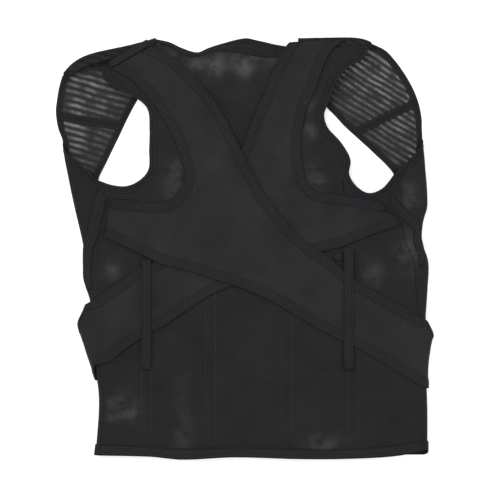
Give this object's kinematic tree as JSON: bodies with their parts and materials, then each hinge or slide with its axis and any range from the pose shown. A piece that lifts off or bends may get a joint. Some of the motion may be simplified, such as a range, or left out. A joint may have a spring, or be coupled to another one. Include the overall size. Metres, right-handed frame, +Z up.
{
  "type": "posture corrector vest",
  "caption": "Black mesh posture corrector vest lying back up, with a crossed elastic shoulder harness, armhole bindings, front straps, bone casings and a hem band.",
  "frame": {"origin": "centre of the laid vest's bounding box, on the surface it lies on", "axes": "+X to the right in the picture, +Y from the hem to the shoulders, +Z up"},
  "size_m": [0.4336, 0.4844, 0.0325],
  "materials": {
    "mesh_cloth": "matte",
    "strap_cloth": "matte",
    "tape_cloth": "satin",
    "label_cloth": "satin"
  },
  "bodies": {
    "root": {"under_strap": "strap_cloth", "right_underarm_wing": "strap_cloth", "under_strap_neck_binding": "tape_cloth", "under_strap_lower_binding": "tape_cloth", "right_harness_arm_binding": "tape_cloth", "over_strap": "strap_cloth", "left_underarm_wing": "strap_cloth", "over_strap_neck_binding": "tape_cloth", "over_strap_lower_binding": "tape_cloth", "left_harness_arm_binding": "tape_cloth", "back_panel": "mesh_cloth", "left_side_panel": "mesh_cloth", "left_front_panel": "mesh_cloth", "left_armhole_binding": "tape_cloth", "right_side_panel": "mesh_cloth", "right_front_panel": "mesh_cloth", "right_armhole_binding": "tape_cloth", "front_placket": "tape_cloth", "hem_band": "tape_cloth", "neck_band": "tape_cloth", "left_front_strap": "mesh_cloth", "left_front_strap_inner_binding": "tape_cloth", "left_front_strap_outer_binding": "tape_cloth", "left_front_strap_cross_tape": "tape_cloth", "right_front_strap": "mesh_cloth", "right_front_strap_inner_binding": "tape_cloth", "right_front_strap_outer_binding": "tape_cloth", "right_front_strap_cross_tape": "tape_cloth", "left_shoulder_band": "tape_cloth", "left_side_tape": "tape_cloth", "right_side_tape": "tape_cloth", "left_bone_casing": "tape_cloth", "right_bone_casing": "tape_cloth", "right_casing_end": "tape_cloth", "bone_channel_1": "tape_cloth", "bone_channel_2": "tape_cloth", "bone_channel_3": "tape_cloth", "bone_channel_4": "tape_cloth", "care_label": "label_cloth"}
  },
  "joints": []
}
